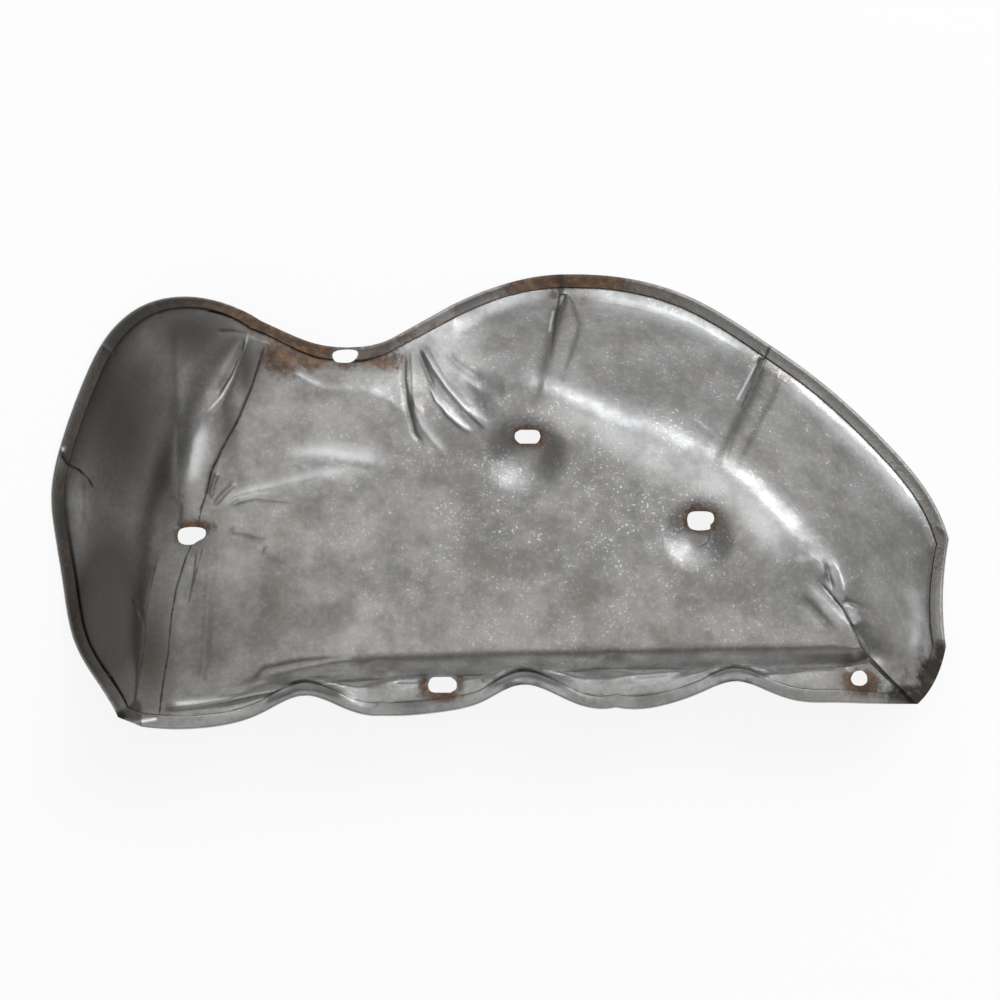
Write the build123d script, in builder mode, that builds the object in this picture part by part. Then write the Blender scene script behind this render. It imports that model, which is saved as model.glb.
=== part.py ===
"""Exhaust heat shield, pressed and folded from one steel sheet.

The shield lies on its rim with its outside up. X runs along it, Y across it and Z up from the floor.
All sizes are in millimetres.
"""
import math
import os
from collections import namedtuple

from build123d import *

# Overall size, and the lines that the narrow end, the lobe and the flange are measured from
LENGTH = 378.0
WIDTH = 191.0
END_X = -LENGTH / 2
LOBE_X = LENGTH / 2
CREST_Y = WIDTH / 2
FLANGE_Y = -WIDTH / 2

# Sheet, hem and crown
SHEET = 1.0
HEM_WIDTH = 5.6
CROWN_HEIGHT = 46.0
FLANGE_HEIGHT = 37.0

# Pleats: how far one side rides up and the other is tucked under it
LAP = 0.7
TUCK = -1.2

# A station pairs a point of the rim with the point of the crown's edge that its wall falls from.
# The lap lifts the wall at a pleat, the gather lifts the middle of the wall, and the bend is 1
# where the wall drops at once to a flat flange.
Station = namedtuple(
    "Station",
    "rim_x rim_y rim_z crown_x crown_y lap gather bend",
    defaults=(0.0, 0.0, 0.0),
)


def port(x, rim_y, crown_y, rise=0.0):
    """Station on the bolting flange, with its rise over the flat of the flange."""
    return Station(x, rim_y, FLANGE_HEIGHT + rise, x, crown_y, 0, 0, 1)


# Steep panel at the narrow end, from the corner below it round to the first pleat
END_PANEL = (
    Station(-160, FLANGE_Y + 4.5, 40, -151, FLANGE_Y + 13.5),
    Station(-169.5, FLANGE_Y + 19.5, 22, -149.5, FLANGE_Y + 28),
    Station(END_X + 9, FLANGE_Y + 38.5, 6, -147.5, FLANGE_Y + 43.5),
    Station(END_X + 5, -36, 0, -144.5, -36),
    Station(END_X + 1.5, -14, 0, -141, -19.5),
    Station(END_X, 1.5, 0, -139, -5.5),
    Station(END_X + 4.5, 25, 0, -134, 4),
    Station(END_X + 13.5, CREST_Y - 45.5, 0, -127, 22.5),
    Station(END_X + 23.5, CREST_Y - 26.5, 3, -121.5, 36.5),
    Station(-151, CREST_Y - 14, 10, -116.5, 48),
    Station(-132.5, CREST_Y - 10, 20, -112, CREST_Y - 38),
    Station(-114, CREST_Y - 13.5, 31, -108, CREST_Y - 30.5),
    Station(-104, CREST_Y - 18, 36, -104.5, CREST_Y - 28.5),
)

# Raised stretch of the rim, with a bolt slot in its middle
DIP = (
    Station(-100, CREST_Y - 20.5, 37, -96.5, CREST_Y - 31),
    Station(-88, CREST_Y - 26, 36, -84.5, CREST_Y - 44.5),
    Station(-77, CREST_Y - 30, 35, -74.5, 45),
    Station(-65, CREST_Y - 31.5, 35, -65, 43.5),
    Station(-53.5, CREST_Y - 30.5, 35, -55, 42.5),
)

# Gathers, spaced evenly between two stations
GATHER_START = Station(-45, CREST_Y - 27.5, 35.5, -47, 38)
GATHER_END = Station(-20, CREST_Y - 13.5, 26, -9, 28)
GATHER_COUNT = 4
GATHER_HEIGHT = 0.9

# Three panels of the wide lobe, parted by two pleats
LOBE_A = (
    Station(-12.5, CREST_Y - 10, 20, -6.5, 35.5),
    Station(6, CREST_Y - 3.5, 8, 2.5, 41.5),
    Station(19, CREST_Y - 1, 2, 13, 43.5),
    Station(26, CREST_Y - 0.5, 1, 17.5, 41.5, LAP),
)
LOBE_B = (
    Station(27, CREST_Y - 0.5, 1.2, 18.5, 41, TUCK),
    Station(34.5, CREST_Y - 0.5, 0.5, 25.5, 38),
    Station(52.5, CREST_Y - 2, 0, 42, 29),
    Station(80, CREST_Y - 10, 0, 63, 19),
    Station(99, CREST_Y - 20.5, 0, 80, 12),
    Station(111, CREST_Y - 28.5, 0, 91, 9, LAP),
)
LOBE_C = (
    Station(112.5, CREST_Y - 29.5, 1.2, 92, 8, TUCK),
    Station(120, CREST_Y - 34.5, 0, 98, 3),
    Station(135.5, 49.5, 0, 107.5, -6.5),
    Station(LOBE_X - 26, 24, 0, 122, -21.5),
    Station(LOBE_X - 7.5, 1, 0, 132.5, -31.5),
    Station(LOBE_X, -16.5, 0, 138, -38),
)

# Short side below the lobe and the bevelled corner that laps over the bolting flange
SIDE = (
    LOBE_C[-1],
    Station(LOBE_X - 2.5, -38, 4, 141.5, -44.5),
    Station(LOBE_X - 1.5, FLANGE_Y + 34, 12, 145, FLANGE_Y + 44),
)
CORNER = (
    SIDE[-1],
    Station(LOBE_X - 6.5, FLANGE_Y + 19.5, 24, 148, FLANGE_Y + 38.5, 0, 0, 0.3),
    Station(LOBE_X - 14, FLANGE_Y + 10, FLANGE_HEIGHT, 150.5, FLANGE_Y + 34, LAP, 0, 1),
)

# Scalloped bolting flange along the exhaust ports, below a sharp bend
TUCKED = (
    Station(LOBE_X - 16, FLANGE_Y + 10, FLANGE_HEIGHT, 149, FLANGE_Y + 33, TUCK, 0, 1),
    Station(LOBE_X - 28, FLANGE_Y + 10, FLANGE_HEIGHT, 146, FLANGE_Y + 32, 0, 0, 1),
)
FAR_PORTS = (
    TUCKED[-1],
    port(140, FLANGE_Y + 10.5, FLANGE_Y + 31.5),
    port(126, FLANGE_Y + 11, FLANGE_Y + 31),
    port(113, FLANGE_Y + 15, FLANGE_Y + 30.5),
    port(98.5, FLANGE_Y + 19.5, FLANGE_Y + 30.5),
    port(85, FLANGE_Y + 15, FLANGE_Y + 30),
    port(71, FLANGE_Y + 10, FLANGE_Y + 29.5),
    port(48.5, FLANGE_Y + 8.5, FLANGE_Y + 29),
)
MIDDLE_PORT = (
    FAR_PORTS[-1],
    port(29.5, FLANGE_Y + 11, FLANGE_Y + 28.5),
    port(8.5, FLANGE_Y + 18, FLANGE_Y + 28.5),
    port(-8, FLANGE_Y + 10.5, FLANGE_Y + 27.5),
    port(-21.5, FLANGE_Y + 7, FLANGE_Y + 27),
    port(-49.5, FLANGE_Y + 5, FLANGE_Y + 26),
)
NEAR_PORT = (
    MIDDLE_PORT[-1],
    port(-65, FLANGE_Y + 8, FLANGE_Y + 24.5),
    port(-81.5, FLANGE_Y + 13.5, FLANGE_Y + 23, 1.0),
    port(-100, FLANGE_Y + 6, FLANGE_Y + 19.5, 4.0),
    port(-123.5, FLANGE_Y, FLANGE_Y + 15.5, 7.0),
    port(-138.5, FLANGE_Y - 0.5, FLANGE_Y + 13.5, 8.5),
    port(-150, FLANGE_Y + 0.5, FLANGE_Y + 13.5, 8.5),
)

# Section of the walls, as shares of the way from the crown to the rim
SHOULDER = 0.34
FILLET = 0.26
RIM_SLOPE = 0.12
LAP_RUN = 0.5
SLOPE_STEP = 0.02

# Length of the bend from the crown down to the bolting flange
BEND_RUN = 7.0

# Places of the lofted loops, as shares of the way from the crown to the hem
LOOPS = (0.0, 0.12, 0.27, 0.45, 0.81, 0.9, 1.0)
NOSE_ANGLES = (90, 0, -90)

# Flattened pleats along the fold of the end panel: both edges of each, seen from above
UPPER_PLEAT = (
    ((-105, CREST_Y - 28), (-114.5, 48), (-123, 29), (-129.5, 4)),
    ((-99, CREST_Y - 29), (-109, 37.5), (-119.5, 14.5), (-126, 0)),
)
LOWER_PLEAT = (
    ((-142, -24), (-146, -46.5), (-148.5, FLANGE_Y + 28), (-152.5, FLANGE_Y + 2)),
    ((-132.5, -25.5), (-137, -51), (-139, FLANGE_Y + 28), (-142.5, FLANGE_Y + 1.5)),
)
PLEAT_SEAT = 0.6

# Bolt slots and hole
SLOT_LENGTH = 12.0
SLOT_WIDTH = 6.6
FLAT_SLOTS = ((-129.5, -15), (11, 27), (83.5, -8.5), (-24, FLANGE_Y + 18))
RIM_SLOT = (-64.5, CREST_Y - 36.5, CROWN_HEIGHT - 9)
RIM_SLOT_TILT = 25.0
HOLE_DIAMETER = 6.6
HOLE = (LOBE_X - 39, FLANGE_Y + 20.5)

# Round bolt seats pressed into the crown: centre, rim radius, flat radius and depth
SEATS = ((11, 20, 18.5, 11.5, 4.5), (84, -14, 16.0, 10.0, 4.0))


def smooth(value):
    """Ease from 0 to 1 with level ends."""
    value = min(1.0, max(0.0, value))
    return value * value * (3.0 - 2.0 * value)


def wall(share):
    """Fall from 0 at the crown to 1 at the rim: round shoulder, straight run and fillet to the hem."""
    run = 1.0 - FILLET
    total = SHOULDER / 2 + run - SHOULDER + FILLET * (1 + RIM_SLOPE) / 2
    if share < SHOULDER:
        return share * share / (2 * SHOULDER) / total
    if share < run:
        return (share - SHOULDER / 2) / total
    past = share - run
    return (run - SHOULDER / 2 + past - (1 - RIM_SLOPE) * past * past / (2 * FILLET)) / total


def width(station):
    """Width of the wall at a station, seen from above."""
    return math.hypot(station.rim_x - station.crown_x, station.rim_y - station.crown_y)


def hem_share(station):
    """Share of the way to the rim at which the hem starts."""
    return 1.0 - HEM_WIDTH / width(station)


def height(station, share):
    """Height of the outside of the sheet at a share of the way from the crown to the rim."""
    drop = smooth(share * width(station) / BEND_RUN)
    fall = wall(share) + (drop - wall(share)) * station.bend
    lap = station.lap * smooth(share / LAP_RUN)
    gather = station.gather * math.sin(math.pi * min(1.0, share / hem_share(station)))
    return CROWN_HEIGHT - (CROWN_HEIGHT - station.rim_z) * fall + lap + gather


def place(station, share, layers):
    """Point at a share of the way to the rim, a number of sheet thicknesses over the outside."""
    low = max(0.0, share - SLOPE_STEP)
    high = min(1.0, share + SLOPE_STEP)
    slope = (height(station, high) - height(station, low)) / ((high - low) * width(station))
    if share == 0:
        slope = 0.0
    x = station.crown_x + share * (station.rim_x - station.crown_x)
    y = station.crown_y + share * (station.rim_y - station.crown_y)
    return (x, y, height(station, share) + layers * SHEET * math.sqrt(1 + slope * slope))


def gathers():
    """Folds of the gathers, each ridge and each furrow a panel of one station."""
    count = 2 * GATHER_COUNT
    folds = []
    for i in range(1, count):
        values = [a + (b - a) * i / count for a, b in zip(GATHER_START, GATHER_END)]
        folds.append((Station(*values)._replace(gather=GATHER_HEIGHT if i % 2 else -GATHER_HEIGHT),))
    return tuple(folds)


PANELS = (
    END_PANEL,
    DIP + (GATHER_START,),
    *gathers(),
    (GATHER_END,) + LOBE_A,
    LOBE_B,
    LOBE_C,
    SIDE,
    CORNER,
    TUCKED,
    FAR_PORTS,
    MIDDLE_PORT,
    NEAR_PORT,
)


def spacing(panel):
    """Distances along the rim from a panel's first station, the same for all the loops."""
    along = [0.0]
    for a, b in zip(panel, panel[1:]):
        along.append(along[-1] + math.dist((a.rim_x, a.rim_y, a.rim_z), (b.rim_x, b.rim_y, b.rim_z)))
    return along


def ring(spot):
    """Closed loop round the sheet, through the spot that is given for each station."""
    edges = []
    for panel, following in zip(PANELS, PANELS[1:] + PANELS[:1]):
        points = [spot(station) for station in panel]
        if len(panel) > 1:
            edges.append(Edge.make_spline(points, parameters=spacing(panel)))
        if panel[-1] != following[0]:
            edges.append(Edge.make_line(points[-1], spot(following[0])))
    return Wire(edges)


def skin_ring(share, layers):
    """Loop at a share of the way from the crown to the hem."""
    return ring(lambda station: place(station, share * hem_share(station), layers))


def nose_ring(angle):
    """Loop on the rounded fold of the hem."""
    turn = math.radians(angle)
    inset = SHEET * (1 - math.cos(turn))
    return ring(lambda station: place(station, 1 - inset / width(station), math.sin(turn)))


def sheet():
    """Solid sheet with its hem, lofted from the crown to the rim and back on the inside."""
    outside = [skin_ring(share, 0) for share in LOOPS]
    inside = [skin_ring(share, -1) for share in reversed(LOOPS)]
    hem_edge = skin_ring(1.0, 1)
    nose = [nose_ring(angle) for angle in NOSE_ANGLES]
    shells = [
        Shell.make_loft(outside, ruled=True),
        Shell.make_loft([outside[-1], hem_edge, *nose, inside[0]], ruled=True),
        Shell.make_loft(inside, ruled=True),
    ]
    faces = [face for shell in shells for face in shell.faces()]
    return Solid(Shell(faces + [Face(outside[0]), Face(inside[-1])]))


with BuildPart() as heat_shield:
    add(sheet())
    for left_edge, right_edge in (UPPER_PLEAT, LOWER_PLEAT):
        with BuildSketch(Plane.XY.offset(CROWN_HEIGHT - PLEAT_SEAT)):
            with BuildLine():
                Spline(*left_edge)
                Line(left_edge[-1], right_edge[-1])
                Spline(*right_edge)
                Line(right_edge[0], left_edge[0])
            make_face()
        extrude(amount=PLEAT_SEAT + SHEET)
    for seat_x, seat_y, rim, flat, depth in SEATS:
        with BuildSketch(Plane.XY.offset(CROWN_HEIGHT)):
            with Locations((seat_x, seat_y)):
                Circle(rim)
        extrude(amount=-SHEET, mode=Mode.SUBTRACT)
        with BuildSketch(Plane.XZ.offset(-seat_y)):
            with BuildLine():
                Polyline(
                    (seat_x, CROWN_HEIGHT - depth),
                    (seat_x + flat, CROWN_HEIGHT - depth),
                    (seat_x + rim, CROWN_HEIGHT),
                    (seat_x + rim, CROWN_HEIGHT - SHEET),
                    (seat_x + flat, CROWN_HEIGHT - depth - SHEET),
                    (seat_x, CROWN_HEIGHT - depth - SHEET),
                    close=True,
                )
            make_face()
        revolve(axis=Axis((seat_x, seat_y, 0), (0, 0, 1)))
    with BuildSketch():
        with Locations(*FLAT_SLOTS):
            SlotOverall(SLOT_LENGTH, SLOT_WIDTH)
        with Locations(HOLE):
            Circle(HOLE_DIAMETER / 2)
    extrude(amount=CROWN_HEIGHT + 2 * SHEET, mode=Mode.SUBTRACT)
    with BuildSketch(Plane(RIM_SLOT).rotated((-RIM_SLOT_TILT, 0, 0))):
        SlotOverall(SLOT_LENGTH, SLOT_WIDTH)
    extrude(amount=SLOT_WIDTH, both=True, mode=Mode.SUBTRACT)

# Origin on the floor, below the middle of the part
box = heat_shield.part.bounding_box()
heat_shield.part.locate(Location((-box.center().X, -box.center().Y, -box.min.Z)))
heat_shield.part.label = "heat_shield"
os.makedirs("parts", exist_ok=True)
export_step(heat_shield.part, "parts/heat_shield.step")
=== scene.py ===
"""Looks of an exhaust heat shield: one hemmed, pleated and weathered sheet of steel on a pale stage."""
import math
from collections import namedtuple

import bmesh
import bpy
import numpy as np
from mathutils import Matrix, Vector
from mathutils.bvhtree import BVHTree


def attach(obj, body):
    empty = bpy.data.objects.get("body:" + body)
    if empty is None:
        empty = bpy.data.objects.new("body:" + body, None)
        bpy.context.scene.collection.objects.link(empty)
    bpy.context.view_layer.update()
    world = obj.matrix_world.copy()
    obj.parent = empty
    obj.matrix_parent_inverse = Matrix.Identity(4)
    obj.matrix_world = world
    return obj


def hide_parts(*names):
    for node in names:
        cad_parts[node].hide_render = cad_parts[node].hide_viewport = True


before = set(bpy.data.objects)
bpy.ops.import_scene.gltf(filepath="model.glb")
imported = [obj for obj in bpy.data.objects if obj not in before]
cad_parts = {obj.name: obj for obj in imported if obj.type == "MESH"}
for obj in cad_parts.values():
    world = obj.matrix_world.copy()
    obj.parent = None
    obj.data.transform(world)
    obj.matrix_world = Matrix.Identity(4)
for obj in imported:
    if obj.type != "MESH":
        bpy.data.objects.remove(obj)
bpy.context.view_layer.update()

bl_info = {
    "name": "Exhaust Heat Shield",
    "version": (1, 0, 0),
    "blender": (4, 5, 0),
    "location": "3D View > Sidebar > Heat Shield",
    "description": "Builds a weathered sheet-steel heat shield with its hem, pleats, bolt seats and slots",
    "category": "Object",
}

MM = 0.001

# Place in the frame, in millimetres, of the point from which the sheet's own lines are measured
ORIGIN = np.array((0.002, 0.5125, 1.1629))

# Laps and flange, in millimetres: rise of an outer lap, drop of the sheet tucked under it, height of the flange's
# rim, and run of the flange's bend
LAP = 0.7
TUCK = -1.2
FLANGE_Z = 37.0
BEND_RUN = 7.0

# Section of the wall: shares of its width that the shoulder, the fillet and the start of a lap take, slope at the
# rim as a share of the straight run's, and step over which a slope is measured
SHOULDER = 0.34
FILLET = 0.26
LAP_RUN = 0.5
RIM_SLOPE = 0.12
SLOPE_STEP = 0.02

# Heights in millimetres: the creased sheet stays over the floor and under the top, and its rise is eased from
# EASED_Z up
FLOOR_Z = -1.14
EASED_Z = 46.3
TOP_Z = 46.98

Station = namedtuple("Station", "rim_x rim_y rim_z crown_x crown_y lap bend", defaults=(0.0, 0.0))
Panel = namedtuple("Panel", "stations parts crowd link", defaults=(0.0, 0))
Press = namedtuple("Press", "points height left right fade power tail", defaults=(0.2, 2, None))
Stain = namedtuple("Stain", "x y reach_x reach_y amount")
Mark = namedtuple("Mark", "points reach amount fade tail", defaults=(0.1, None))
Lamp = namedtuple("Lamp", "name place size colour", defaults=((1.0, 1.0, 1.0),))


def port(x, rim_y, crown_y, rise=0.0):
    """Station on the bolting flange, with its rise over the flat of the flange."""
    return Station(x, rim_y, FLANGE_Z + rise, x, crown_y, 0.0, 1.0)


END_PANEL = (
    Station(-160, -91, 40, -151, -82),
    Station(-169.5, -76, 22, -149.5, -67.5),
    Station(-180, -57, 6, -147.5, -52),
    Station(-184, -36, 0, -144.5, -36),
    Station(-187.5, -14, 0, -141, -19.5),
    Station(-189, 1.5, 0, -139, -5.5),
    Station(-184.5, 25, 0, -134, 4),
    Station(-175.5, 50, 0, -127, 22.5),
    Station(-165.5, 69, 3, -121.5, 36.5),
    Station(-151, 81.5, 10, -116.5, 48),
    Station(-132.5, 85.5, 20, -112, 57.5),
    Station(-114, 82, 31, -108, 65),
    Station(-104, 77.5, 36, -104.5, 67),
)
DIP = (
    Station(-100, 75, 37, -96.5, 64.5),
    Station(-88, 69.5, 36, -84.5, 51),
    Station(-77, 65.5, 35, -74.5, 45),
    Station(-65, 64, 35, -65, 43.5),
    Station(-53.5, 65, 35, -55, 42.5),
    Station(-45, 68, 35.5, -47, 38),
)
LOBE_A = (
    Station(-20, 82, 26, -9, 28),
    Station(-12.5, 85.5, 20, -6.5, 35.5),
    Station(6, 92, 8, 2.5, 41.5),
    Station(19, 94.5, 2, 13, 43.5),
    Station(26, 95, 1, 17.5, 41.5, LAP),
)
LOBE_B = (
    Station(27, 95, 1.2, 18.5, 41, TUCK),
    Station(34.5, 95, 0.5, 25.5, 38),
    Station(52.5, 93.5, 0, 42, 29),
    Station(80, 85.5, 0, 63, 19),
    Station(99, 75, 0, 80, 12),
    Station(111, 67, 0, 91, 9, LAP),
)
LOBE_C = (
    Station(112.5, 66, 1.2, 92, 8, TUCK),
    Station(120, 61, 0, 98, 3),
    Station(135.5, 49.5, 0, 107.5, -6.5),
    Station(163, 24, 0, 122, -21.5),
    Station(181.5, 1, 0, 132.5, -31.5),
    Station(189, -16.5, 0, 138, -38),
)
SIDE = (
    LOBE_C[-1],
    Station(186.5, -38, 4, 141.5, -44.5),
    Station(187.5, -61.5, 12, 145, -51.5),
)
CORNER = (
    SIDE[-1],
    Station(182.5, -76, 24, 148, -57, 0, 0.3),
    Station(175, -85.5, FLANGE_Z, 150.5, -61.5, LAP, 1),
)
TUCKED = (
    Station(173, -85.5, FLANGE_Z, 149, -62.5, TUCK, 1),
    Station(161, -85.5, FLANGE_Z, 146, -63.5, 0, 1),
)
FAR_PORTS = (
    TUCKED[-1],
    Station(150.5, -85.3, FLANGE_Z, 143, -63.8, 0, 1),
    port(140, -85, -64),
    port(126, -84.5, -64.5),
    port(113, -80.5, -65),
    port(98.5, -76, -65),
    port(85, -80.5, -65.5),
    port(71, -85.5, -66),
    port(48.5, -87, -66.5),
)
MIDDLE_PORT = (
    FAR_PORTS[-1],
    port(29.5, -84.5, -67),
    port(8.5, -77.5, -67),
    port(-8, -85, -68),
    port(-21.5, -88.5, -68.5),
    port(-49.5, -90.5, -69.5),
)
NEAR_PORT = (
    MIDDLE_PORT[-1],
    port(-65, -87.5, -71),
    port(-81.5, -82, -72.5, 1.0),
    port(-100, -89.5, -76, 4.0),
    port(-123.5, -95.5, -80, 7.0),
    port(-138.5, -96, -82, 8.5),
    port(-150, -95, -82, 8.5),
)

# Panels in order round the rim. Each part of a panel runs between two of its stations and has a number of
# columns; crowd packs the columns towards the panel's ends, and link is the number of columns to the next panel.
PANELS = (
    Panel(END_PANEL, ((0, 5, 47), (5, 12, 61)), 0.0, 1),
    Panel(DIP, ((0, 5, 36),), 0.0, 48),
    Panel(LOBE_A, ((0, 4, 38),), 0.3, 1),
    Panel(LOBE_B, ((0, 5, 62),), 0.6, 1),
    Panel(LOBE_C, ((0, 5, 60),), 0.4, 0),
    Panel(SIDE, ((0, 1, 12), (1, 2, 14)), 0.0, 0),
    Panel(CORNER, ((0, 2, 28),), 0.0, 1),
    Panel(TUCKED, ((0, 1, 14),), 0.0, 0),
    Panel(FAR_PORTS, ((0, 8, 70),), 0.0, 0),
    Panel(MIDDLE_PORT, ((0, 5, 62),), 0.0, 0),
    Panel(NEAR_PORT, ((0, 6, 72),), 0.0, 12),
)

# Column of the first panel with which each row starts, and number of columns in all
FIRST_COLUMN = 47
COLUMNS = 640

# Rows of the crown and the wall, on the outside and on the inside
CROWN_ROWS = 16
WALL_ROWS = 30
INNER_WALL_ROWS = 9
INNER_CROWN_ROWS = 5

# Rows of the hem. Past is the way beyond the hem's edge in millimetres, layers the sheet thicknesses over the
# outside, and the shade share the strength of the painted shade of the dark line along that edge. The foot of the hem
# is given as past and shade share, the gap under its edge as layers at one past, its top as layers, past and shade
# share, and its nose as angles in degrees, with the angle at which its painted highlight would end.
HEM_FOOT = ((-0.8, 0.0), (-0.4, 0.1), (0.0, 0.7))
HEM_GAP = (0.05, 0.3)
HEM_GAP_PAST = 0.7
HEM_TOP = (
    (0.35, 0.1, 0.9), (0.65, 0.0, 0.5), (0.93, 0.2, 0.0), (1.0, 0.6, 0.0), (1.0, 1.8, 0.0), (1.0, 3.0, 0.0),
    (1.0, 4.0, 0.0),
)
HEM_NOSE = (90, 60, 30, 0, -30, -60, -90)
NOSE_SHEEN_ANGLE = 120

# Ends of the line along the middle of the crown on which the columns meet, and the share of even spacing on it; the
# rest of the spacing follows the crown's edge
SPINE = ((-105.0, -11.0), (105.0, -39.7))
EVENLY = 0.4

# Two points closer than this, in millimetres, are one
WELD = 1e-4

# Places on the picture plane, in pixels of PIXEL millimetres
PIXEL = 0.42
PICTURE_X = 499.5
PICTURE_Y = 499.0

# Round bolt seats: centre, rim radius, flat radius and depth in millimetres
SEATS = ((11.5, 18.5, 20.0, 3.0, 4.4), (83.5, -15.0, 17.0, 3.0, 3.9))

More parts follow.
